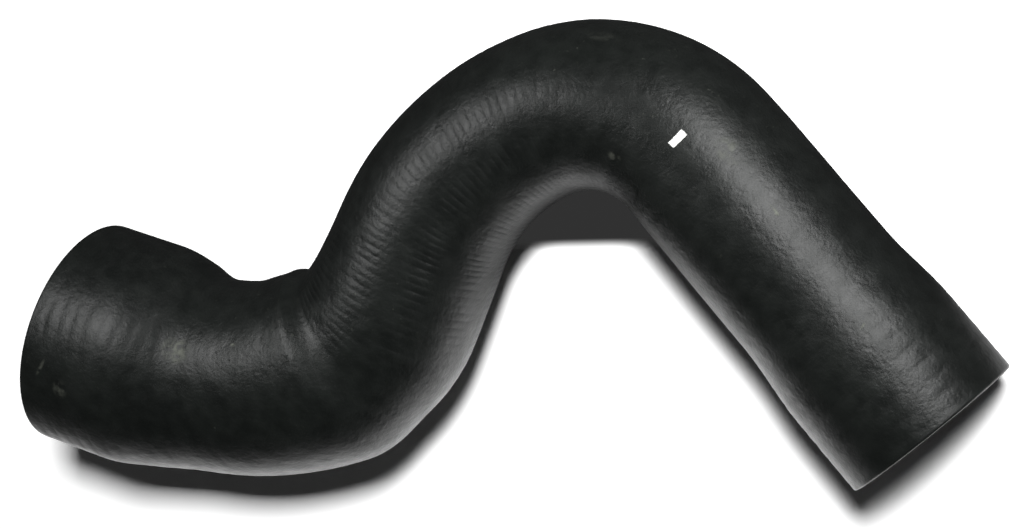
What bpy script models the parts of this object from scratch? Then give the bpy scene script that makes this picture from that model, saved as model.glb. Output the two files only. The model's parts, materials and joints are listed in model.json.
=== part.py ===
"""Charge air hose: one moulded rubber hose, open from end to end.

The hose is drawn the way a tube is bent. A short table of straight legs and bends gives its centre
line, a few radii along that line give its outside, and the wall gives its bore. The finished solid is
then laid on the ground as it comes to rest there.
"""

import math
from dataclasses import dataclass

import bmesh
import bpy
from mathutils import Matrix, Vector

# Centre line, from the wide end to the narrow end, in metres and degrees
WIDE_LEG = 0.0396
SWEEP_BEND_RADIUS = 0.1039
SWEEP_ANGLE = 35.1
ELBOW_INSIDE_RADIUS = 0.0056
ELBOW_ANGLE = 45.5
MIDDLE_LEG = 0.0274
LEAD_BEND_RADIUS = 0.0800
LEAD_ANGLE = 45.7
CROOK_INSIDE_RADIUS = 0.0200
CROOK_ANGLE = 68.7
NARROW_LEG = 0.1109

# Outside of the tube, which draws in over the elbow and the crook
TUBE_RADIUS_AT_WIDE_LEG = 0.0340
TUBE_RADIUS_AT_ELBOW = 0.0304
TUBE_RADIUS_AT_CROOK = 0.0272
TUBE_RADIUS_AT_NARROW_LEG = 0.0286
NARROW_LEG_BLEND = 0.020

# Rubber that fills the throat of the elbow, on the inside of the bend
THROAT_FILL = 0.0023
THROAT_FILL_LENGTH = 0.048

# Cuffs that the clamps close on, and the shoulders that join them to the tube
WIDE_CUFF_RADIUS = 0.0401
WIDE_CUFF_LENGTH = 0.0251
WIDE_SHOULDER_LENGTH = 0.0331
NARROW_CUFF_RADIUS = 0.0305
NARROW_CUFF_LENGTH = 0.0282
NARROW_SHOULDER_LENGTH = 0.0275

# Wall, and the small round on the four edges of the cut ends
WALL = 0.005
LIP_ROUND = 0.0008

# How the hose lies: the compass angle of its wide leg, seen from above
WIDE_LEG_HEADING = -17.7

# Fineness of the surface, and the angle past which an edge shows as an edge
SIDES = 36
OUTER_STEP = 0.006
BORE_STEP = 0.009
LIP_STEPS = 2
SHARP_ANGLE = 40.0

RUBBER_COLOUR = (0.028, 0.030, 0.029, 1.0)
RUBBER_ROUGHNESS = 0.5


@dataclass(frozen=True)
class Run:
    """One stretch of the centre line: straight where its bend radius is zero."""

    length: float
    bend_radius: float = 0.0
    towards: float = 0.0

    def frame_at(self, distance):
        """The frame after a distance along the run, in the frame at the run's start."""
        if self.bend_radius == 0.0:
            return Matrix.Translation((0.0, 0.0, distance))
        turn = Matrix.Rotation(distance / self.bend_radius, 4, "Y")
        to_centre = Matrix.Translation((self.bend_radius, 0.0, 0.0))
        plane = Matrix.Rotation(self.towards, 4, "Z")
        return plane @ to_centre @ turn @ to_centre.inverted() @ plane.inverted()


def bend(radius, degrees, towards):
    """A round bend of the centre line, towards an angle about the line."""
    return Run(radius * math.radians(degrees), radius, math.radians(towards))


def bend_table():
    """The hose's runs, in order from the wide end. All of them lie in one plane."""
    first_side = 0.0
    second_side = 180.0
    elbow_bend_radius = TUBE_RADIUS_AT_ELBOW + ELBOW_INSIDE_RADIUS
    crook_bend_radius = TUBE_RADIUS_AT_CROOK + CROOK_INSIDE_RADIUS
    return {
        "wide_leg": Run(WIDE_LEG),
        "sweep": bend(SWEEP_BEND_RADIUS, SWEEP_ANGLE, first_side),
        "elbow": bend(elbow_bend_radius, ELBOW_ANGLE, first_side),
        "middle_leg": Run(MIDDLE_LEG),
        "lead": bend(LEAD_BEND_RADIUS, LEAD_ANGLE, second_side),
        "crook": bend(crook_bend_radius, CROOK_ANGLE, second_side),
        "narrow_leg": Run(NARROW_LEG),
    }


class Hose:
    """The hose's centre line and its radii, read by distance from the wide end."""

    def __init__(self, start_frame):
        self.runs = bend_table()
        self.starts = {}
        self.start_frames = {}
        distance = 0.0
        frame = start_frame
        for name, run in self.runs.items():
            self.starts[name] = distance
            self.start_frames[name] = frame
            distance += run.length
            frame = frame @ run.frame_at(run.length)
        self.length = distance

    def frame_at(self, distance):
        """The frame of the section at a distance: its Z runs along the hose."""
        name = [key for key, start in self.starts.items() if distance >= start][-1]
        return self.start_frames[name] @ self.runs[name].frame_at(distance - self.starts[name])

    def tube_radius(self, distance):
        """The outside radius between the cuffs."""
        elbow = self.starts["elbow"]
        elbow_middle = elbow + self.runs["elbow"].length / 2
        crook = self.starts["crook"]
        narrow_leg = self.starts["narrow_leg"] + NARROW_LEG_BLEND
        radius = TUBE_RADIUS_AT_WIDE_LEG
        radius = blend(radius, TUBE_RADIUS_AT_ELBOW, ease(distance, elbow, elbow_middle))
        radius = blend(radius, TUBE_RADIUS_AT_CROOK, ease(distance, elbow_middle, crook))
        return blend(radius, TUBE_RADIUS_AT_NARROW_LEG, ease(distance, crook, narrow_leg))

    def outer_radius(self, distance):
        """The outside radius, with both cuffs and their shoulders."""
        radius = self.tube_radius(distance)
        wide_share = 1.0 - ease(distance, WIDE_CUFF_LENGTH, WIDE_CUFF_LENGTH + WIDE_SHOULDER_LENGTH)
        narrow_cuff = self.length - NARROW_CUFF_LENGTH
        narrow_share = ease(distance, narrow_cuff - NARROW_SHOULDER_LENGTH, narrow_cuff)
        radius = blend(radius, WIDE_CUFF_RADIUS, wide_share)
        return blend(radius, NARROW_CUFF_RADIUS, narrow_share)

    def throat_fill(self, distance):
        """How far the outside stands out at the middle of the elbow's throat."""
        middle = self.starts["elbow"] + self.runs["elbow"].length / 2
        return THROAT_FILL * (1.0 - ease(abs(distance - middle), 0.0, THROAT_FILL_LENGTH / 2))

    def ring(self, distance, radius, fill=0.0):
        """The points of one section: round, and fuller on the side that the elbow bends to."""
        frame = self.frame_at(distance)
        points = []
        for i in range(SIDES):
            angle = 2 * math.pi * i / SIDES
            reach = radius + fill * max(math.cos(angle), 0.0) ** 2
            points.append(frame @ Vector((reach * math.cos(angle), reach * math.sin(angle), 0.0)))
        return points


def ease(value, start, end):
    """A smooth rise from 0 at the start to 1 at the end."""
    share = min(max((value - start) / (end - start), 0.0), 1.0)
    return share * share * (3.0 - 2.0 * share)


def blend(first, second, share):
    """A value between two values."""
    return first + (second - first) * share


def edge_round():
    """The steps of a rounded edge: how far in from the cut end, and how far off the wall's surface."""
    angles = [math.pi / 2 * (1 - i / LIP_STEPS) for i in range(LIP_STEPS)]
    return [(LIP_ROUND * (1 - math.sin(a)), LIP_ROUND * (1 - math.cos(a))) for a in angles]


def surface_rings(hose, depth, step):
    """Rings along one face of the wall, from the wide end to the narrow end.

    The depth is zero for the outside and the wall's thickness for the bore. At both cut ends the edge
    is rounded into the wall.
    """
    into_wall = -1.0 if depth == 0.0 else 1.0
    first = LIP_ROUND
    last = hose.length - LIP_ROUND
    count = math.ceil((last - first) / step)
    wide_edge = edge_round()
    plain = [(first + (last - first) * i / count, 0.0) for i in range(count + 1)]
    narrow_edge = [(hose.length - along, away) for along, away in reversed(wide_edge)]
    rings = []
    for distance, away in wide_edge + plain + narrow_edge:
        radius = hose.outer_radius(distance) - depth + into_wall * away
        fill = hose.throat_fill(distance) if depth == 0.0 else 0.0
        rings.append(hose.ring(distance, radius, fill))
    return rings


def hose_mesh(hose):
    """The wall as one closed mesh: out along the outside, and back through the bore."""
    outside = surface_rings(hose, 0.0, OUTER_STEP)
    bore = surface_rings(hose, WALL, BORE_STEP)
    loops = outside + bore[::-1]
    mesh = bmesh.new()
    rings = [[mesh.verts.new(point) for point in loop] for loop in loops]
    for ring, following in zip(rings, rings[1:] + rings[:1]):
        for i in range(SIDES):
            j = (i + 1) % SIDES
            mesh.faces.new((ring[i], ring[j], following[j], following[i]))
    bmesh.ops.recalc_face_normals(mesh, faces=mesh.faces)
    return mesh


def centre_of_mass(mesh):
    """The centroid of a closed mesh, from the tetrahedra that its faces make with the origin."""
    total = 0.0
    moment = Vector()
    for first, second, third in (
            [loop.vert.co for loop in loops] for loops in mesh.calc_loop_triangles()):
        volume = first.cross(second).dot(third) / 6
        total += volume
        moment += volume * (first + second + third) / 4
    return moment / total


def resting_normal(mesh):
    """The outward normal of the facet that the hose lies on.

    Of the facets of its convex hull, those that have the centre of mass over their own area can carry
    it, and the one that faces most nearly down does.
    """
    centre = centre_of_mass(mesh)
    hull = bmesh.new()
    for vert in mesh.verts:
        hull.verts.new(vert.co)
    bmesh.ops.convex_hull(hull, input=hull.verts)
    inside = sum((vert.co for vert in hull.verts), Vector()) / len(hull.verts)
    best = Vector((0.0, 0.0, 1.0))
    for face in hull.faces:
        corners = [vert.co for vert in face.verts]
        normal = face.normal if face.normal.dot(corners[0] - inside) > 0 else -face.normal
        edges = zip(corners, corners[1:] + corners[:1])
        sides = [(end - start).cross(centre - start).dot(face.normal) for start, end in edges]
        carries = min(sides) > 0 or max(sides) < 0
        if carries and normal.z < best.z:
            best = normal.copy()
    hull.free()
    return best


def lay_down(mesh):
    """Turn the hose onto the facet it rests on, and centre it over the origin with its foot at z = 0."""
    down = Vector((0.0, 0.0, -1.0))
    turn = resting_normal(mesh).rotation_difference(down).to_matrix().to_4x4()
    bmesh.ops.transform(mesh, matrix=turn, verts=mesh.verts)
    lows = [min(vert.co[axis] for vert in mesh.verts) for axis in range(3)]
    highs = [max(vert.co[axis] for vert in mesh.verts) for axis in range(3)]
    foot = Vector(((lows[0] + highs[0]) / 2, (lows[1] + highs[1]) / 2, lows[2]))
    bmesh.ops.translate(mesh, vec=-foot, verts=mesh.verts)


def rubber():
    """Black moulded rubber, satin."""
    material = bpy.data.materials.new("black_rubber")
    material.use_nodes = True
    shader = material.node_tree.nodes["Principled BSDF"]
    shader.inputs["Base Color"].default_value = RUBBER_COLOUR
    shader.inputs["Roughness"].default_value = RUBBER_ROUGHNESS
    shader.inputs["Metallic"].default_value = 0.0
    return material


def start_frame():
    """The frame at the wide end: Z into the hose, Y up, before the hose is laid down."""
    heading = Matrix.Rotation(math.radians(WIDE_LEG_HEADING), 4, "Z")
    along_x = Matrix(((0.0, 0.0, 1.0), (1.0, 0.0, 0.0), (0.0, 1.0, 0.0))).to_4x4()
    return heading @ along_x


def build():
    """Clear the scene and make the hose."""
    for item in list(bpy.data.objects):
        bpy.data.objects.remove(item)
    mesh = hose_mesh(Hose(start_frame()))
    lay_down(mesh)
    data = bpy.data.meshes.new("air_hose")
    mesh.to_mesh(data)
    mesh.free()
    data.materials.append(rubber())
    data.shade_smooth()
    data.set_sharp_from_angle(angle=math.radians(SHARP_ANGLE))
    bpy.context.scene.collection.objects.link(bpy.data.objects.new("air_hose", data))


build()
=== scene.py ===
"""Looks of the charge air hose: its ribbed skin, its black rubber and the studio it lies in."""

import json
import logging
import math
from dataclasses import dataclass, field
from enum import Enum

import bmesh
import bpy
from mathutils import Matrix, Quaternion, Vector


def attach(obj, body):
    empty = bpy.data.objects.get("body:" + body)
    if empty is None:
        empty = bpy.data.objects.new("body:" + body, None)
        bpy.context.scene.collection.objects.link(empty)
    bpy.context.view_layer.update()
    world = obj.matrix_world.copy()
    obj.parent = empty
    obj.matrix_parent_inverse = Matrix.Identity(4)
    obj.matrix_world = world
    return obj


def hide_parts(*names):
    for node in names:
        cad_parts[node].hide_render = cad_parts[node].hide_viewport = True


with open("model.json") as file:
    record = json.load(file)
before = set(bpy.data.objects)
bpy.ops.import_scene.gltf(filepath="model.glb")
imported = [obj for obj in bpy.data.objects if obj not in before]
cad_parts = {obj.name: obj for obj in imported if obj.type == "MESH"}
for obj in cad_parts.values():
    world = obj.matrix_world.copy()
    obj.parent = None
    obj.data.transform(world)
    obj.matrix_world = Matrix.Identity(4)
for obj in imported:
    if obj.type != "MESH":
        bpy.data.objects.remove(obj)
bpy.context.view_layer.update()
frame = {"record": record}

LOG = logging.getLogger("air_hose")
MM = 0.001
WHITE = (1.0, 1.0, 1.0, 1.0)


def ease(value: float, start: float, end: float) -> float:
    """A smooth rise from 0 at the start to 1 at the end, flat beyond both."""
    share = min(max((value - start) / (end - start), 0.0), 1.0)
    return share * share * (3.0 - 2.0 * share)


def blend(first: float, second: float, share: float) -> float:
    """The value a share of the way from the first to the second."""
    return first + (second - first) * share


def grey(level: float) -> tuple[float, float, float, float]:
    """A colour without a hue, as bright as its level."""
    return (level, level, level, 1.0)


class Signal:
    """A node's output that takes part in plain arithmetic."""

    def __init__(self, graph: "Graph", source: bpy.types.NodeSocket) -> None:
        """Wrap an output of a node in a graph."""
        self.graph = graph
        self.source = source

    def __add__(self, other: "Signal | float") -> "Signal":
        """This plus another."""
        return self.graph.math("ADD", self, other)

    def __radd__(self, other: float) -> "Signal":
        """A number plus this."""
        return self.graph.math("ADD", other, self)

    def __sub__(self, other: "Signal | float") -> "Signal":
        """This less another."""
        return self.graph.math("SUBTRACT", self, other)

    def __rsub__(self, other: float) -> "Signal":
        """A number less this."""
        return self.graph.math("SUBTRACT", other, self)

    def __mul__(self, other: "Signal | float") -> "Signal":
        """This times another."""
        return self.graph.math("MULTIPLY", self, other)

    def __truediv__(self, other: "Signal | float") -> "Signal":
        """This over another."""
        return self.graph.math("DIVIDE", self, other)

    def __pow__(self, other: float) -> "Signal":
        """This to a power."""
        return self.graph.math("POWER", self, other)

    def __abs__(self) -> "Signal":
        """This without its sign."""
        return self.graph.math("ABSOLUTE", self)


class Graph:
    """A node tree of a material, the world or a modifier, written as expressions."""

    def __init__(self, tree: bpy.types.NodeTree) -> None:
        """Empty a tree, to fill it."""
        self.tree = tree
        tree.nodes.clear()

    def node(self, kind: str, settings: dict[str, object] | None = None,
             values: dict[str | int, object] | None = None) -> bpy.types.Node:
        """Add a node.

        Args:
            kind: The node's type.
            settings: Its own settings, set before its sockets are touched.
            values: A number, a colour, an output or a signal for each input, by name, identifier
                or place.

        Returns:
            The node.
        """
        made = self.tree.nodes.new(kind)
        for name, setting in (settings or {}).items():
            setattr(made, name, setting)
        for key, value in (values or {}).items():
            taker = self.socket(made.inputs, key)
            if isinstance(value, Signal):
                self.tree.links.new(value.source, taker)
            elif isinstance(value, bpy.types.NodeSocket):
                self.tree.links.new(value, taker)
            else:
                taker.default_value = value
        return made

    @staticmethod
    def socket(sockets: bpy.types.bpy_prop_collection, key: str | int) -> bpy.types.NodeSocket:
        """The first socket in use with a place, identifier or name."""
        if isinstance(key, int):
            return sockets[key]
        return next(each for each in sockets if each.enabled and key in (each.identifier, each.name))

    def read(self, made: bpy.types.Node, key: str | int = 0) -> Signal:
        """An output of a node, by its place, identifier or name, as a signal."""
        return Signal(self, self.socket(made.outputs, key))

    def math(self, operation: str, *values: "Signal | float") -> Signal:
        """A Math node on numbers or signals, in the order of its inputs."""
        return self.read(self.node("ShaderNodeMath", {"operation": operation}, dict(enumerate(values))))

    def vector(self, operation: str, values: dict[str | int, object], out: str = "Vector") -> Signal:
        """A Vector Math node on inputs by place or name, read at one output."""
        return self.read(self.node("ShaderNodeVectorMath", {"operation": operation}, values), out)

    def rise(self, value: Signal, start: float, end: float) -> Signal:
        """A smooth rise from 0 to 1, or a fall where the end lies below the start.

        Args:
            value: The signal to read.
            start: Where the rise leaves 0.
            end: Where it reaches 1.

        Returns:
            A share from 0 to 1.
        """
        low, high = min(start, end), max(start, end)
        to_low, to_high = (0.0, 1.0) if start < end else (1.0, 0.0)
        return self.read(self.node("ShaderNodeMapRange", {"interpolation_type": "SMOOTHSTEP"}, {
            "Value": value, "From Min": low, "From Max": high, "To Min": to_low, "To Max": to_high}))

    def mix(self, share: Signal, first: object, second: object) -> Signal:
        """A colour that lies a share of the way from the first to the second."""
        made = self.node("ShaderNodeMix", {"data_type": "RGBA"}, {
            "Factor_Float": share, "A_Color": first, "B_Color": second})
        return self.read(made, "Result_Color")

    def noise(self, place: Signal, size: float, detail: float = 2.0, seed: float = 0.0) -> Signal:
        """Soft random values, mostly from 0.2 to 0.8, in blotches as wide as the size."""
        made = self.node("ShaderNodeTexNoise", {"noise_dimensions": "4D"}, {
            "Vector": place, "W": seed, "Scale": 1.0 / size, "Detail": detail})
        return self.read(made)

    def glow(self, strength: "Signal | float", kind: str = "ShaderNodeEmission") -> Signal:
        """White light from a surface or from the room."""
        return self.read(self.node(kind, values={"Color": WHITE, "Strength": strength}))

    def attribute(self, name: str, out: str = "Fac") -> Signal:
        """An attribute of the mesh, in a material."""
        return self.read(self.node("ShaderNodeAttribute", {"attribute_name": name}), out)


class Side(Enum):
    """The side that a bend turns to, seen from above along the hose."""

    LEFT = 1
    RIGHT = -1


class Face(Enum):
    """The two faces of the wall."""

    OUTSIDE = 1
    BORE = 0


@dataclass(frozen=True)
class Stretch:
    """One stretch of the centre line: straight where its bend radius is zero."""

    length: float
    bend_radius: float = 0.0
    side: Side = Side.LEFT

    def step(self, distance: float) -> Matrix:
        """The move along the stretch.

        Args:
            distance: How far along it.

        Returns:
            The frame there, in the frame at the stretch's start: X along the hose and Z up.
        """
        if self.bend_radius == 0.0:
            return Matrix.Translation((distance, 0.0, 0.0))
        sign = self.side.value
        centre = Matrix.Translation((0.0, sign * self.bend_radius, 0.0))
        turn = Matrix.Rotation(sign * distance / self.bend_radius, 4, "Z")
        return centre @ turn @ centre.inverted()


def bend(radius: float, degrees: float, side: Side) -> Stretch:
    """A round bend that turns by an angle in degrees to one side."""
    return Stretch(radius * math.radians(degrees), radius, side)


@dataclass(frozen=True)
class HoseSizes:
    """The hose's sizes, in metres and degrees, the same as those of its solid."""

    wide_leg: float = 0.0396
    sweep_bend_radius: float = 0.1039
    sweep_angle: float = 35.1
    elbow_inside_radius: float = 0.0056
    elbow_angle: float = 45.5
    middle_leg: float = 0.0274
    lead_bend_radius: float = 0.0800
    lead_angle: float = 45.7
    crook_inside_radius: float = 0.0200
    crook_angle: float = 68.7
    narrow_leg: float = 0.1109
    tube_at_wide_leg: float = 0.0340
    tube_at_elbow: float = 0.0304
    tube_at_crook: float = 0.0272
    tube_at_narrow_leg: float = 0.0286
    narrow_leg_blend: float = 0.020
    wide_cuff_radius: float = 0.0401
    wide_cuff_length: float = 0.0251
    wide_shoulder: float = 0.0331
    narrow_cuff_radius: float = 0.0305
    narrow_cuff_length: float = 0.0282
    narrow_shoulder: float = 0.0275
    wall: float = 0.005
    lip_round: float = 0.0008

    def stretches(self) -> dict[str, Stretch]:
        """The hose's stretches, in order from the wide end."""
        elbow_radius = self.tube_at_elbow + self.elbow_inside_radius
        crook_radius = self.tube_at_crook + self.crook_inside_radius
        return {
            "wide_leg": Stretch(self.wide_leg),
            "sweep": bend(self.sweep_bend_radius, self.sweep_angle, Side.LEFT),
            "elbow": bend(elbow_radius, self.elbow_angle, Side.LEFT),
            "middle_leg": Stretch(self.middle_leg),
            "lead": bend(self.lead_bend_radius, self.lead_angle, Side.RIGHT),
            "crook": bend(crook_radius, self.crook_angle, Side.RIGHT),
            "narrow_leg": Stretch(self.narrow_leg),
        }


class Route:
    """The hose's centre line and radii, read by distance from the wide end."""

    def __init__(self, sizes: HoseSizes, mounts: dict[str, dict]) -> None:
        """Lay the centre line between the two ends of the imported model.

        Args:
            sizes: The hose's sizes.
            mounts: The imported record's mounts, by name.
        """
        self.sizes = sizes
        self.stretches = sizes.stretches()
        self.starts: dict[str, float] = {}
        self.frames: dict[str, Matrix] = {}
        distance = 0.0
        place = self.wide_end(mounts)
        for name, stretch in self.stretches.items():
            self.starts[name] = distance
            self.frames[name] = place
            distance += stretch.length
            place = place @ stretch.step(stretch.length)
        self.length = distance

    def wide_end(self, mounts: dict[str, dict]) -> Matrix:
        """The frame at the wide end.

        A mount's point lies on the cut end, at the highest place of the wall's middle.

        Args:
            mounts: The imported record's mounts, by name.

        Returns:
            The frame: X into the hose, Z square to the plane that the hose lies in.
        """
        along = -Vector(mounts["wide_end"]["axis"]).normalized()
        up = Vector(mounts["narrow_end"]["axis"]).cross(along).normalized()
        across = up.cross(along)
        high = Vector((0.0, 0.0, 1.0))
        high = (high - along * high.dot(along)).normalized()
        wall_middle = self.sizes.wide_cuff_radius - self.sizes.wall / 2
        centre = Vector(mounts["wide_end"]["pos_m"]) - high * wall_middle
        turn = Matrix((along, across, up)).transposed().to_4x4()
        return Matrix.Translation(centre) @ turn

    def frame_at(self, distance: float) -> Matrix:
        """The frame at a distance from the wide end: X along the hose and Z up."""
        name = [key for key, start in self.starts.items() if distance >= start][-1]
        return self.frames[name] @ self.stretches[name].step(distance - self.starts[name])

    def outer_radius(self, distance: float) -> float:
        """The outside radius, with both cuffs and their shoulders.

        Args:
            distance: How far from the wide end.

        Returns:
            The radius.
        """
        sizes = self.sizes
        elbow = self.starts["elbow"]
        elbow_middle = elbow + self.stretches["elbow"].length / 2
        crook = self.starts["crook"]
        narrow_leg = self.starts["narrow_leg"] + sizes.narrow_leg_blend
        wide_cuff = sizes.wide_cuff_length
        narrow_cuff = self.length - sizes.narrow_cuff_length
        radius = sizes.tube_at_wide_leg
        radius = blend(radius, sizes.tube_at_elbow, ease(distance, elbow, elbow_middle))
        radius = blend(radius, sizes.tube_at_crook, ease(distance, elbow_middle, crook))
        radius = blend(radius, sizes.tube_at_narrow_leg, ease(distance, crook, narrow_leg))
        wide_share = 1.0 - ease(distance, wide_cuff, wide_cuff + sizes.wide_shoulder)
        narrow_share = ease(distance, narrow_cuff - sizes.narrow_shoulder, narrow_cuff)
        radius = blend(radius, sizes.wide_cuff_radius, wide_share)
        return blend(radius, sizes.narrow_cuff_radius, narrow_share)


@dataclass(frozen=True)
class Ribbing:
    """The ribs at one distance: how far apart and how high."""

    distance: float
    pitch: float
    height: float


@dataclass(frozen=True)
class SkinRow:
    """One ring of the skin, with its ribs' count and height and its share of the eased throat."""

    distance: float
    radius: float
    face: Face
    turns: float = 0.0
    height: float = 0.0
    throat: float = 0.0


@dataclass
class HoseSkin:
    """The hose's whole surface: outside with its ribs, lips, cut ends and bore.

    The ribs are what the ply under the rubber leaves on it. They lie close together between elbow and
    crook, wide apart at both ends and almost flat elsewhere, and they show in bands that run along
    the hose in a slow spiral. On its inside the elbow follows a centre line that turns more gently
    than the solid's.
    """

    route: Route
    sides: int = 86
    steps_per_rib: int = 10
    smallest_step: float = 0.28 * MM
    largest_step: float = 0.60 * MM
    bore_step: float = 3.0 * MM
    line_step: float = 0.5 * MM
    merge_distance: float = 0.004 * MM
    lip_steps: int = 5
    lip_fade: float = 3.0 * MM
    throat_core: float = 26.0 * MM
    throat_reach: float = 50.0 * MM
    throat_easing: float = 15.5 * MM
    easing_widths: float = 2.5
    wander: float = 0.45
    wander_size: float = 22.0 * MM
    wander_seed: float = 0.0
    breaking: float = 1.70
    breaking_size: float = 7.0 * MM
    breaking_seed: float = 7.0
    crest_power: float = 0.75
    crest_level: float = 0.6
    groove_depth: float = 0.3 * MM
    bands: int = 10
    band_turn: float = 8.0
    band_spiral: float = 133.3
    band_origin: float = 0.150
    between_bands: float = 0.15
    band_power: float = 2.0
    lumps: float = 0.25 * MM
    lump_size: float = 30.0 * MM
    lump_seed: float = 13.0
    seed: float = 4.0
    ribbing: tuple[Ribbing, ...] = (
        Ribbing(0.0, 5.2 * MM, 0.18 * MM),
        Ribbing(0.050, 5.2 * MM, 0.12 * MM),
        Ribbing(0.085, 5.0 * MM, 0.02 * MM),
        Ribbing(0.110, 3.2 * MM, 0.03 * MM),
        Ribbing(0.132, 2.8 * MM, 0.11 * MM),
        Ribbing(0.215, 2.8 * MM, 0.11 * MM),
        Ribbing(0.240, 3.2 * MM, 0.04 * MM),
        Ribbing(0.260, 4.2 * MM, 0.02 * MM),
        Ribbing(0.290, 5.4 * MM, 0.02 * MM),
        Ribbing(0.350, 5.4 * MM, 0.03 * MM),
        Ribbing(0.365, 5.2 * MM, 0.12 * MM),
        Ribbing(0.420, 5.2 * MM, 0.12 * MM),
    )

    def throat_share(self, distance: float) -> float:
        """The eased centre line's share in the elbow's inside, from 1 in its middle to 0."""
        middle = self.route.starts["elbow"] + self.route.stretches["elbow"].length / 2
        return 1.0 - ease(abs(distance - middle), self.throat_core, self.throat_reach)

    def ribs_at(self, distance: float) -> Ribbing:
        """The ribs at a distance, eased between the named places.

        Args:
            distance: How far from the wide end.

        Returns:
            The ribbing there.
        """
        before = [each for each in self.ribbing if each.distance <= distance][-1]
        after = next(each for each in self.ribbing if each.distance > distance)
        share = ease(distance, before.distance, after.distance)
        pitch = blend(before.pitch, after.pitch, share)
        return Ribbing(distance, pitch, blend(before.height, after.height, share))

    def outside_rows(self) -> list[SkinRow]:
        """The rings of the outside between its two lips."""
        first = self.route.sizes.lip_round
        last = self.route.length - first
        distance = first
        turns = 0.0
        rows = []
        while distance < last:
            ribs = self.ribs_at(distance)
            fade = ease(min(distance, self.route.length - distance), first, first + self.lip_fade)
            radius = self.route.outer_radius(distance)
            throat = self.throat_share(distance)
            rows.append(SkinRow(distance, radius, Face.OUTSIDE, turns, ribs.height * fade, throat))
            wanted = ribs.pitch / self.steps_per_rib
            step = min(max(wanted, self.smallest_step), self.largest_step)
            turns += step / ribs.pitch
            distance += step
        rows.append(SkinRow(last, self.route.outer_radius(last), Face.OUTSIDE, turns))
        return rows

    def bore_rows(self) -> list[SkinRow]:
        """The rings of the bore, from the narrow end back to the wide end."""
        first = self.route.sizes.lip_round
        last = self.route.length - first
        count = math.ceil((last - first) / self.bore_step)
        places = [last - (last - first) * i / count for i in range(count + 1)]
        wall = self.route.sizes.wall
        return [SkinRow(each, self.route.outer_radius(each) - wall, Face.BORE) for each in places]

    def lip(self, rows: list[SkinRow], wide: bool, face: Face) -> list[SkinRow]:
        """The rings of one rounded edge.

        Args:
            rows: The rows that the edge follows or leads to.
            wide: True at the wide end.
            face: The face of the wall that the edge rounds off.

        Returns:
            The rings, from the cut end to the face.
        """
        size = self.route.sizes.lip_round
        nearest = min if wide else max
        row = nearest(rows, key=lambda each: each.distance)
        inward = -1.0 if face is Face.OUTSIDE else 1.0
        made = []
        for i in range(self.lip_steps):
            turn = math.pi / 2 * i / self.lip_steps
            depth = size * (1 - math.sin(turn))
            away = size * (1 - math.cos(turn))
            distance = away if wide else self.route.length - away
            made.append(SkinRow(distance, row.radius + inward * depth, face))
        return made

    def rows(self) -> list[SkinRow]:
        """All rings: along the outside, over the narrow end, back through the bore and round again."""
        outside = self.outside_rows()
        bore = self.bore_rows()
        start = self.lip(outside, True, Face.OUTSIDE)
        ring = (start + outside + self.lip(outside, False, Face.OUTSIDE)[::-1]
                + self.lip(bore, False, Face.BORE) + bore + self.lip(bore, True, Face.BORE)[::-1])
        return ring + ring[:1]

    def outline(self) -> bpy.types.Object:
        """The rings as points: X is the distance, Y the radius, and the rest are attributes."""
        rows = self.rows()
        mesh = bpy.data.meshes.new("wall_outline")
        mesh.from_pydata([(row.distance, row.radius, 0.0) for row in rows], [], [])
        columns = {
            "turns": [row.turns for row in rows],
            "height": [row.height for row in rows],
            "outside": [float(row.face.value) for row in rows],
            "throat": [row.throat for row in rows],
        }
        for name, values in columns.items():
            mesh.attributes.new(name, "FLOAT", "POINT").data.foreach_set("value", values)
        thing = bpy.data.objects.new("wall_outline", mesh)
        bpy.context.scene.collection.objects.link(thing)
        return thing

    def centre_line(self, name: str, easing: float = 0.0) -> bpy.types.Object:
        """The centre line as a curve.

        Args:
            name: The curve's name.
            easing: How far round a point its neighbours pull at it, near the elbow.

        Returns:
            The curve object.
        """
        count = math.ceil(self.route.length / self.line_step)
        places = [self.route.length * i / count for i in range(count + 1)]
        spots = [self.route.frame_at(place).translation for place in places]
        curve = bpy.data.curves.new(name, "CURVE")
        curve.dimensions = "3D"
        spline = curve.splines.new("POLY")
        spline.points.add(count)
        for i, point in enumerate(spline.points):
            reach = easing * math.sqrt(self.throat_share(places[i])) / self.line_step
            span = min(math.ceil(self.easing_widths * reach), i, count - i)
            pull = {0: 1.0}
            if span:
                pull = {j: math.exp(-0.5 * (j / reach) ** 2) for j in range(-span, span + 1)}
            drawn = sum((spots[i + j] * share for j, share in pull.items()), Vector())
            point.co = (*(drawn / sum(pull.values())), 1.0)
        thing = bpy.data.objects.new(name, curve)
        bpy.context.scene.collection.objects.link(thing)
        return thing

    def tree(self) -> bpy.types.NodeTree:
        """The node tree that wraps the wall outline round the centre line."""
        tree = bpy.data.node_groups.new("hose_skin", "GeometryNodeTree")
        tree.interface.new_socket("Geometry", in_out="INPUT", socket_type="NodeSocketGeometry")
        kinds = {"Object": ("Centre Line", "Eased Line"), "Int": ("Sides", "Rows"),
                 "Float": ("Wander", "Wander Size", "Breaking", "Breaking Size", "Lumps", "Lump Size",
                           "Seed"),
                 "Material": ("Rubber",)}
        for kind, names in kinds.items():
            for name in names:
                tree.interface.new_socket(name, in_out="INPUT", socket_type=f"NodeSocket{kind}")
        tree.interface.new_socket("Geometry", in_out="OUTPUT", socket_type="NodeSocketGeometry")
        graph = Graph(tree)
        given = graph.node("NodeGroupInput")

        # A sheet of points: one row for each ring, one more column than there are sides
        columns = graph.read(given, "Sides") + 1
        sheet = graph.node("GeometryNodeMeshGrid", values={
            "Vertices X": graph.read(given, "Rows"), "Vertices Y": columns})
        index = graph.read(graph.node("GeometryNodeInputIndex"))
        row = graph.math("FLOOR", index / columns)
        column = index - row * columns
        angle = column / graph.read(given, "Sides") * math.tau

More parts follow.
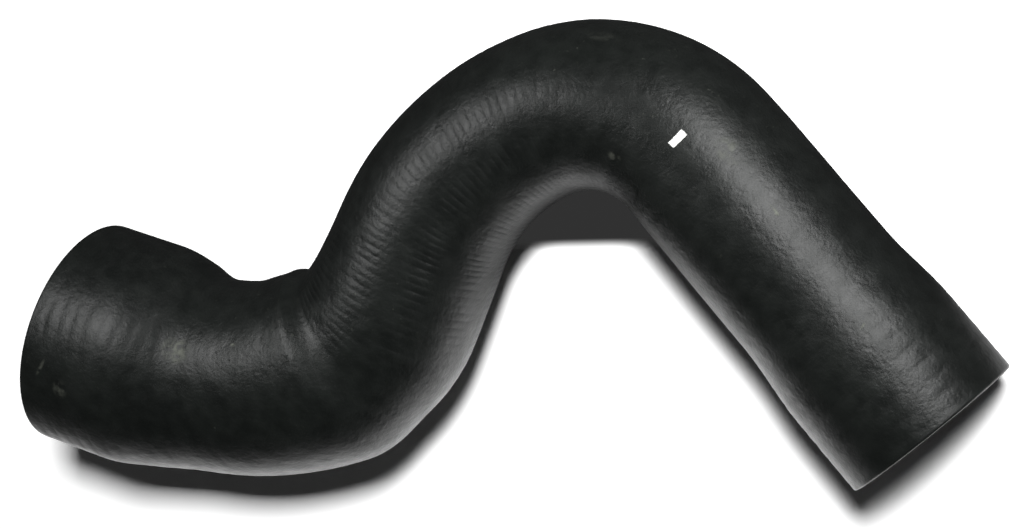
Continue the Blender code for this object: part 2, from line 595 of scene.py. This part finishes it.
        # What the outline says about this ring
        def of_row(name: str) -> Signal:
            """The outline's attribute at this point's row."""
            kind = "FLOAT_VECTOR" if name == "position" else "FLOAT"
            named = graph.node("GeometryNodeInputNamedAttribute", {"data_type": kind}, {"Name": name})
            return graph.read(graph.node("GeometryNodeSampleIndex", {"data_type": kind}, {
                "Geometry": graph.read(given, "Geometry"), "Value": graph.read(named, "Attribute"),
                "Index": row}))

        split = graph.node("ShaderNodeSeparateXYZ", values={"Vector": of_row("position")})
        distance = graph.read(split, "X")
        radius = graph.read(split, "Y")
        outside = of_row("outside")

        # Two centre lines: the solid's own, and the one that the elbow's inside follows
        def station(name: str) -> tuple[Signal, Signal]:
            """This point's centre on a line, and the way outwards from there."""
            line = graph.node("GeometryNodeObjectInfo", values={"Object": graph.read(given, name)})
            upright = graph.node("GeometryNodeSetCurveNormal", {"mode": "Z_UP"}, {
                "Curve": graph.read(line, "Geometry")})
            spot = graph.node("GeometryNodeSampleCurve", {"mode": "LENGTH", "data_type": "FLOAT"}, {
                "Curves": graph.read(upright, "Curve"), "Length": distance})
            across = graph.read(spot, "Normal")
            up = graph.vector("CROSS_PRODUCT", {0: across, 1: graph.read(spot, "Tangent")})
            sideways = graph.vector("SCALE", {0: across, "Scale": graph.math("SINE", angle)})
            upwards = graph.vector("SCALE", {0: up, "Scale": graph.math("COSINE", angle)})
            return graph.read(spot, "Position"), graph.vector("ADD", {0: sideways, 1: upwards})

        stations = [station("Centre Line"), station("Eased Line")]
        inner = 0.5 - graph.math("SINE", angle) * 0.5
        throat = of_row("throat") * inner

        def at(length: Signal) -> Signal:
            """The point at a radius from the centre line, eased on the inside of the elbow."""
            plain, eased = (graph.vector("ADD", {
                0: centre, 1: graph.vector("SCALE", {0: outwards, "Scale": length})})
                for centre, outwards in stations)
            off = graph.vector("SUBTRACT", {0: eased, 1: plain})
            return graph.vector("ADD", {0: plain, 1: graph.vector("SCALE", {0: off, "Scale": throat})})

        # Ribs that wander, break and fade, on a surface that is never quite round
        smooth = at(radius)

        def field_of(size: str, amount: str, seed: float) -> Signal:
            """Random values up to a named strength, with blotches of a named size."""
            made = graph.node("ShaderNodeTexNoise", {"noise_dimensions": "4D"}, {
                "Vector": smooth, "W": graph.read(given, "Seed") + seed,
                "Scale": graph.math("DIVIDE", 1.0, graph.read(given, size)), "Detail": 1.0})
            return (graph.read(made) - 0.5) * 2.0 * graph.read(given, amount)

        drift = field_of("Wander Size", "Wander", self.wander_seed)
        crest = abs(graph.math("SINE", (of_row("turns") + drift) * math.pi)) ** self.crest_power
        gaps = field_of("Breaking Size", "Breaking", self.breaking_seed)
        broken = graph.math("MAXIMUM", 1.0 + gaps, 0.0)
        spiral = (distance - self.band_origin) * math.radians(self.band_spiral)
        turned = angle + spiral + math.radians(self.band_turn)
        bands = graph.math("COSINE", turned * self.bands) * 0.5 + 0.5
        height = of_row("height") * broken * (self.between_bands + bands ** self.band_power)
        rib = (crest - self.crest_level) * height
        lump = field_of("Lump Size", "Lumps", self.lump_seed) * outside
        placed = at(radius + rib + lump)
        # How deep a point lies in a rib's groove, which the rubber's material darkens as painted shade
        groove = (1.0 - crest) * height / self.groove_depth

        skin = graph.node("GeometryNodeSetPosition", values={
            "Geometry": graph.read(sheet, "Mesh"), "Position": placed})
        current = graph.read(skin, "Geometry")
        around = graph.node("ShaderNodeCombineXYZ", values={
            "X": graph.math("SINE", angle), "Y": graph.math("COSINE", angle)})
        for name, kind, value in (("along", "FLOAT", distance), ("groove", "FLOAT", groove),
                                  ("outside", "FLOAT", outside),
                                  ("around", "FLOAT_VECTOR", graph.read(around))):
            settings = {"data_type": kind, "domain": "POINT"}
            stored = graph.node("GeometryNodeStoreNamedAttribute", settings, {
                "Geometry": current, "Name": name, "Value": value})
            current = graph.read(stored, "Geometry")
        for kind, values in (("GeometryNodeMergeByDistance", {"Distance": self.merge_distance}),
                             ("GeometryNodeSetShadeSmooth", {}),
                             ("GeometryNodeRealizeInstances", {}),
                             ("GeometryNodeSetMaterial", {"Material": graph.read(given, "Rubber")})):
            current = graph.read(graph.node(kind, values={"Geometry": current, **values}), "Geometry")
        graph.node("NodeGroupOutput", values={"Geometry": current})
        return tree

    def build(self, rubber: bpy.types.Material) -> bpy.types.Object:
        """Make the skin as a plain closed mesh.

        Args:
            rubber: The material.

        Returns:
            The piece, at the origin, with its place in its mesh.
        """
        outline = self.outline()
        plain = self.centre_line("centre_line")
        eased = self.centre_line("eased_line", self.throat_easing)
        tree = self.tree()
        given = {
            "Centre Line": plain, "Eased Line": eased, "Sides": self.sides,
            "Rows": len(outline.data.vertices), "Wander": self.wander, "Wander Size": self.wander_size,
            "Breaking": self.breaking, "Breaking Size": self.breaking_size, "Lumps": self.lumps,
            "Lump Size": self.lump_size, "Seed": self.seed, "Rubber": rubber,
        }
        modifier = outline.modifiers.new("skin", "NODES")
        modifier.node_group = tree
        for item in tree.interface.items_tree:
            if item.name in given:
                modifier[item.identifier] = given[item.name]
        graph = bpy.context.evaluated_depsgraph_get()
        mesh = bpy.data.meshes.new_from_object(outline.evaluated_get(graph))
        mesh.name = "hose_body"
        outline.modifiers.remove(modifier)
        for helper in (outline, plain, eased):
            bpy.data.objects.remove(helper)
        face_outwards(mesh)
        piece = bpy.data.objects.new("hose_body", mesh)
        bpy.context.scene.collection.objects.link(piece)
        return piece


def face_outwards(mesh: bpy.types.Mesh) -> None:
    """Turn every face of a closed mesh outwards.

    Args:
        mesh: The mesh.
    """
    work = bmesh.new()
    work.from_mesh(mesh)
    bmesh.ops.recalc_face_normals(work, faces=work.faces)
    if work.calc_volume(signed=True) < 0:
        bmesh.ops.reverse_faces(work, faces=work.faces)
    work.to_mesh(mesh)
    work.free()


@dataclass(frozen=True)
class Mark:
    """A mark on the rubber, by its place and its own size.

    The angle is about the hose from its top, positive to the right of the way from the wide end.
    """

    distance: float
    angle: float
    length: float
    width: float
    strength: float = 1.0
    slant: float = 0.0


@dataclass(frozen=True)
class RubberFinish:
    """Black moulded rubber with a dull sheen, chalky scuffs and one dab of white paint."""

    dark: tuple[float, float, float, float] = (0.0045, 0.0054, 0.0049, 1.0)
    pale: tuple[float, float, float, float] = (0.0085, 0.0100, 0.0090, 1.0)
    chalk: tuple[float, float, float, float] = (0.115, 0.122, 0.100, 1.0)
    paint: tuple[float, float, float, float] = (0.86, 0.87, 0.84, 1.0)
    groove_shade_colour: tuple[float, float, float, float] = (0.003, 0.0034, 0.0032, 1.0)
    groove_shade_share: float = 0.5
    blotch_size: float = 5.5 * MM
    cloud_size: float = 28.0 * MM
    grain_size: float = 0.9 * MM
    crumb_size: float = 1.6 * MM
    patch_size: float = 2.6 * MM
    tone_shares: tuple[float, float] = (0.55, 0.45)
    tone_range: tuple[float, float] = (0.32, 0.70)
    dust_range: tuple[float, float] = (0.66, 0.78)
    dusty_range: tuple[float, float] = (0.45, 0.62)
    dust_share: float = 0.35
    patch_range: tuple[float, float] = (0.40, 0.62)
    scuff_rim: tuple[float, float] = (1.0, 0.25)
    near_side: tuple[float, float] = (0.0, 0.1)
    out_of_reach: float = 9.0
    paint_wear: tuple[float, float] = (0.6 * MM, 0.8 * MM)
    paint_rim: tuple[float, float] = (0.25 * MM, 0.35 * MM)
    sheen_roughness: float = 0.40
    blotch_roughness: float = 0.22
    grain_roughness: float = 0.10
    chalk_roughness: float = 0.25
    groove_roughness: float = 0.15
    bore_roughness: float = 0.12
    grain_relief: float = 0.22
    crumb_relief: float = 0.30
    paint_relief: float = 0.25
    relief_depth: float = 0.35 * MM
    specular_level: float = 0.5
    paint_mark: Mark = Mark(0.2752, -13.9, 2.4 * MM, 5.9 * MM)
    scuffs: tuple[Mark, ...] = (
        Mark(0.0553, -27.0, 15.0 * MM, 9.0 * MM, 0.60),
        Mark(0.0809, -30.4, 3.4 * MM, 1.4 * MM, 0.9, 0.8),
        Mark(0.0277, -12.2, 1.6 * MM, 1.2 * MM, 0.8),
        Mark(0.0168, 10.2, 7.0 * MM, 6.0 * MM, 0.3),
        Mark(0.0084, 2.2, 2.0 * MM, 6.0 * MM, 0.25, -0.5),
        Mark(0.3100, -29.8, 7.0 * MM, 1.9 * MM, 1.0, -0.55),
        Mark(0.2875, -32.1, 12.0 * MM, 9.0 * MM, 0.4),
        Mark(0.3532, -26.7, 1.0 * MM, 5.0 * MM, 0.5, 0.3),
        Mark(0.2453, -57.9, 11.0 * MM, 6.0 * MM, 0.10),
        Mark(0.2597, 21.5, 8.0 * MM, 4.0 * MM, 0.40),
    )

    def beside(self, graph: Graph, mark: Mark, radius: float) -> tuple[Signal, Signal]:
        """Where a point lies round the hose, seen from a mark.

        Args:
            graph: The material's graph.
            mark: The mark.
            radius: The hose's radius there.

        Returns:
            How far aside of the mark, and 1 on the mark's own side of the hose or 0 on the other.
        """
        turn = math.radians(mark.angle)
        around = graph.attribute("around", "Vector")
        split = graph.node("ShaderNodeSeparateXYZ", values={"Vector": around})
        sine, cosine = graph.read(split, "X"), graph.read(split, "Y")
        aside = (sine * math.cos(turn) - cosine * math.sin(turn)) * radius
        facing = cosine * math.cos(turn) + sine * math.sin(turn)
        return aside, graph.rise(facing, *self.near_side)

    def spot(self, graph: Graph, mark: Mark) -> Signal:
        """How far inside a mark a point lies.

        Args:
            graph: The material's graph.
            mark: The mark.

        Returns:
            0 at the mark's middle and 1 on its rim.
        """
        aside, near = self.beside(graph, mark, HoseSizes.tube_at_narrow_leg)
        away = graph.attribute("along") - mark.distance - aside * mark.slant
        along = away / (mark.length / 2)
        across = aside / (mark.width / 2)
        return graph.math("SQRT", along * along + across * across) + (1.0 - near) * self.out_of_reach

    def paint_cover(self, graph: Graph, fine: Signal) -> Signal:
        """Where the dab of paint covers the rubber.

        Args:
            graph: The material's graph.
            fine: Fine noise that wears the dab's rim.

        Returns:
            A share from 0 to 1.
        """
        mark = self.paint_mark
        aside, near = self.beside(graph, mark, HoseSizes.tube_at_crook)
        away = abs(graph.attribute("along") - mark.distance)
        cover = near
        for off, size, wear, rim in zip((away, abs(aside)), (mark.length, mark.width),
                                        self.paint_wear, self.paint_rim):
            cover = cover * graph.rise(off + (fine - 0.5) * wear, size / 2, size / 2 - rim)
        return cover

    def material(self) -> bpy.types.Material:
        """The rubber as a material."""
        made = bpy.data.materials.new("black_rubber_looks")
        made.use_nodes = True
        graph = Graph(made.node_tree)
        place = graph.read(graph.node("ShaderNodeTexCoord"), "Object")
        groove = graph.attribute("groove")
        outside = graph.attribute("outside")

        blotches = graph.noise(place, self.blotch_size, detail=3.0, seed=1.0)
        clouds = graph.noise(place, self.cloud_size, detail=2.0, seed=2.0)
        grain = graph.noise(place, self.grain_size, detail=4.0, seed=3.0)
        crumbs = graph.noise(place, self.crumb_size, detail=3.0, seed=4.0)
        patches = graph.noise(place, self.patch_size, detail=4.0, seed=5.0)

        blotch_share, cloud_share = self.tone_shares
        tone = graph.rise(blotches * blotch_share + clouds * cloud_share, *self.tone_range)
        colour = graph.mix(tone, self.dark, self.pale)

        # Dust in some places, and the scuffs over it
        chalk = graph.rise(crumbs, *self.dust_range) * self.dust_share
        chalk = chalk * graph.rise(clouds, *self.dusty_range)
        patchy = graph.rise(patches, *self.patch_range)
        for scuff in self.scuffs:
            cover = graph.rise(self.spot(graph, scuff), *self.scuff_rim) * patchy * scuff.strength
            chalk = graph.math("MAXIMUM", chalk, cover)
        chalk = chalk * outside
        colour = graph.mix(chalk, colour, self.chalk)
        # Painted shade: the colour darkens towards the bottom of each rib groove
        colour = graph.mix(groove * self.groove_shade_share, colour, self.groove_shade_colour)

        paint = self.paint_cover(graph, crumbs) * outside
        colour = graph.mix(paint, colour, self.paint)

        roughness = (self.sheen_roughness + (blotches - 0.5) * self.blotch_roughness
                     + (grain - 0.5) * self.grain_roughness + chalk * self.chalk_roughness
                     + groove * self.groove_roughness + (1.0 - outside) * self.bore_roughness)

        relief = (blotches + grain * self.grain_relief + crumbs * self.crumb_relief
                  + paint * self.paint_relief)
        bump = graph.node("ShaderNodeBump", values={
            "Strength": 1.0, "Distance": self.relief_depth, "Height": relief})
        shader = graph.node("ShaderNodeBsdfPrincipled", values={
            "Base Color": colour, "Roughness": roughness, "Normal": graph.read(bump),
            "Specular IOR Level": self.specular_level})
        graph.node("ShaderNodeOutputMaterial", values={"Surface": graph.read(shader)})
        return made


@dataclass(frozen=True)
class Lamp:
    """A soft square lamp: where its light comes from, how big it is and how bright.

    A lamp that doesn't light the floor makes only glints, and one without glints only dull light.
    """

    name: str
    towards: tuple[float, float, float]
    distance: float
    side: float
    watts: float
    lights_floor: bool = True
    glints: bool = True

    def build(self, target: Vector) -> None:
        """Hang the lamp.

        Args:
            target: The point that it faces.
        """
        light = bpy.data.lights.new(self.name, "AREA")
        light.shape = "SQUARE"
        light.size = self.side
        light.energy = self.watts
        thing = bpy.data.objects.new(self.name, light)
        back = Vector(self.towards).normalized()
        right = Vector((1.0, 0.0, 0.0))
        right = (right - back * right.dot(back)).normalized()
        turn = Matrix((right, back.cross(right), back)).transposed().to_4x4()
        thing.matrix_world = Matrix.Translation(target + back * self.distance) @ turn
        thing.visible_diffuse = self.lights_floor
        thing.visible_glossy = self.glints
        thing.visible_camera = False
        bpy.context.scene.collection.objects.link(thing)


@dataclass(frozen=True)
class Viewpoint:
    """The camera: what it looks at, from where and how it is turned, in metres and degrees."""

    look_at: tuple[float, float, float] = (-0.004923, -0.008476, 0.0)
    distance: float = 0.685743
    azimuth: float = 110.7662
    elevation: float = 64.8154
    roll: float = -113.6237
    lens: float = 69.19
    sensor: float = 36.0

    def build(self) -> None:
        """Set up the camera and make it the scene's own."""
        around, above = math.radians(self.azimuth), math.radians(self.elevation)
        back = Vector((math.sin(around) * math.cos(above), -math.cos(around) * math.cos(above),
                       math.sin(above)))
        camera = bpy.data.cameras.new("camera")
        camera.lens = self.lens
        camera.sensor_width = self.sensor
        thing = bpy.data.objects.new("camera", camera)
        thing.location = Vector(self.look_at) + back * self.distance
        thing.rotation_mode = "QUATERNION"
        level = (-back).to_track_quat("-Z", "Y")
        thing.rotation_quaternion = level @ Quaternion((0.0, 0.0, 1.0), math.radians(self.roll))
        bpy.context.scene.collection.objects.link(thing)
        bpy.context.scene.camera = thing


@dataclass(frozen=True)
class Studio:
    """A white table, soft lamps and the camera."""

    view: Viewpoint = field(default_factory=Viewpoint)
    floor_side: float = 12.0
    floor_colour: float = 0.80
    floor_to_eye: float = 1.45
    white_from: float = 0.35
    white_to: float = 0.75
    room: float = 0.02
    front: tuple[float, float, float] = (-0.014, -0.985, 0.0)
    front_from: float = 0.0
    front_to: float = 0.07
    mirrored_behind: float = 0.03
    mirrored_ahead: float = 1.60
    mirrored_far: float = 0.45
    pool_from: float = 0.38
    pool_to: float = 0.22
    shade_tone: float = 0.031
    shade_sides: tuple[float, float] = (-0.006, 0.056)
    shade_ends: tuple[float, float] = (-0.0022, 0.050)
    shade_edge: float = 0.0025
    lamp_target: tuple[float, float, float] = (0.0, 0.0, 0.03)
    lamps: tuple[Lamp, ...] = (
        Lamp("overhead_lamp", (0.388, 0.460, 1.000), 1.20, 0.19, 22.5, glints=False),
        Lamp("left_softbox", (-0.490, 0.412, 0.768), 0.330, 0.15, 0.37, lights_floor=False),
        Lamp("right_softbox", (0.656, 0.409, 0.635), 0.330, 0.18, 0.74, lights_floor=False),
    )

    def build(self) -> None:
        """Set up the studio."""
        self.view.build()
        for lamp in self.lamps:
            lamp.build(Vector(self.lamp_target))
        self.floor()
        self.world()
        bpy.context.scene.view_settings.view_transform = "Standard"

    def floor(self) -> None:
        """Lay the floor, white to the eye and with the hose's shadow on it."""
        half = self.floor_side / 2
        corners = [(-half, -half, 0.0), (half, -half, 0.0), (half, half, 0.0), (-half, half, 0.0)]
        mesh = bpy.data.meshes.new("floor")
        mesh.from_pydata(corners, [], [(0, 1, 2, 3)])
        made = bpy.data.materials.new("white_table")
        made.use_nodes = True
        graph = Graph(made.node_tree)
        rays = graph.node("ShaderNodeLightPath")
        eye = graph.read(rays, "Is Camera Ray")
        seen = graph.math("MINIMUM", eye + graph.read(rays, "Is Transmission Ray"), 1.0)
        place = graph.read(graph.node("ShaderNodeTexCoord"), "Object")
        reach = graph.vector("LENGTH", {0: place}, "Value")
        far = graph.rise(reach, self.white_from, self.white_to) * seen
        direct = graph.mix(eye, grey(self.floor_colour), grey(self.floor_colour * self.floor_to_eye))

        # What the rubber mirrors: a painted reflection, a table coloured bright in front of the hose
        # and dark behind it, which the eye doesn't see
        forwards = graph.vector("DOT_PRODUCT", {0: place, 1: self.front}, "Value")
        ahead = graph.rise(forwards, self.front_from, self.front_to)
        near = graph.rise(reach, self.pool_from, self.pool_to)
        pool = graph.mix(near, grey(self.mirrored_far), grey(self.mirrored_ahead))
        mirrored = graph.mix(ahead, grey(self.mirrored_behind), pool)
        colour = graph.mix(graph.read(rays, "Is Glossy Ray"), direct, mirrored)

        table = graph.node("ShaderNodeBsdfDiffuse", values={"Color": colour})
        shaded = graph.node("ShaderNodeMixShader", values={
            0: self.shade(graph, place), 1: graph.read(table), 2: graph.glow(self.shade_tone)})
        both = graph.node("ShaderNodeMixShader", values={
            0: far, 1: graph.read(shaded), 2: graph.glow(1.0)})
        graph.node("ShaderNodeOutputMaterial", values={"Surface": graph.read(both)})
        mesh.materials.append(made)
        thing = bpy.data.objects.new("floor", mesh)
        bpy.context.scene.collection.objects.link(thing)

    def shade(self, graph: Graph, place: Signal) -> Signal:
        """The deep shade inside the crook, which a hose that lies quite flat doesn't cast.

        Args:
            graph: The floor's graph.
            place: The point on the floor.

        Returns:
            A share from 0 to 1.
        """
        split = graph.node("ShaderNodeSeparateXYZ", values={"Vector": place})
        edge = self.shade_edge
        cover = 1.0
        for axis, (low, high) in (("X", self.shade_sides), ("Y", self.shade_ends)):
            value = graph.read(split, axis)
            cover = graph.rise(value, low - edge, low + edge) * cover
            cover = graph.rise(value, high + edge, high - edge) * cover
        return cover

    def world(self) -> None:
        """Light the room dimly, with white behind the hose."""
        world = bpy.data.worlds.new("room")
        world.use_nodes = True
        bpy.context.scene.world = world
        graph = Graph(world.node_tree)
        rays = graph.node("ShaderNodeLightPath")
        eye, through = graph.read(rays, "Is Camera Ray"), graph.read(rays, "Is Transmission Ray")
        strength = graph.math("MAXIMUM", eye, through) * (1.0 - self.room) + self.room
        light = graph.glow(strength, "ShaderNodeBackground")
        graph.node("ShaderNodeOutputWorld", values={"Surface": light})


class AirHose:
    """The hose: one moulded piece of rubber."""

    def __init__(self, record: dict) -> None:
        """Read where the hose lies.

        Args:
            record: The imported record.
        """
        mounts = {mount["name"]: mount for mount in record["mounts"]}
        self.route = Route(HoseSizes(), mounts)
        self.skin = HoseSkin(self.route)
        self.finish = RubberFinish()

    def build(self) -> bpy.types.Object:
        """Make the hose and let it stand for its solid."""
        piece = self.skin.build(self.finish.material())
        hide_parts("air_hose")
        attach(piece, "root")
        triangles = sum(len(face.vertices) - 2 for face in piece.data.polygons)
        LOG.info("%s: %d triangles, %.1f mm along the centre line", piece.name, triangles,
                 self.route.length / MM)
        return piece


def main() -> None:
    """Build the studio and the hose."""
    logging.basicConfig(level=logging.INFO, format="%(name)s: %(message)s")
    Studio().build()
    LOG.info("studio: floor, lamps and camera")
    AirHose(frame["record"]).build()


if __name__ == "__main__":
    main()
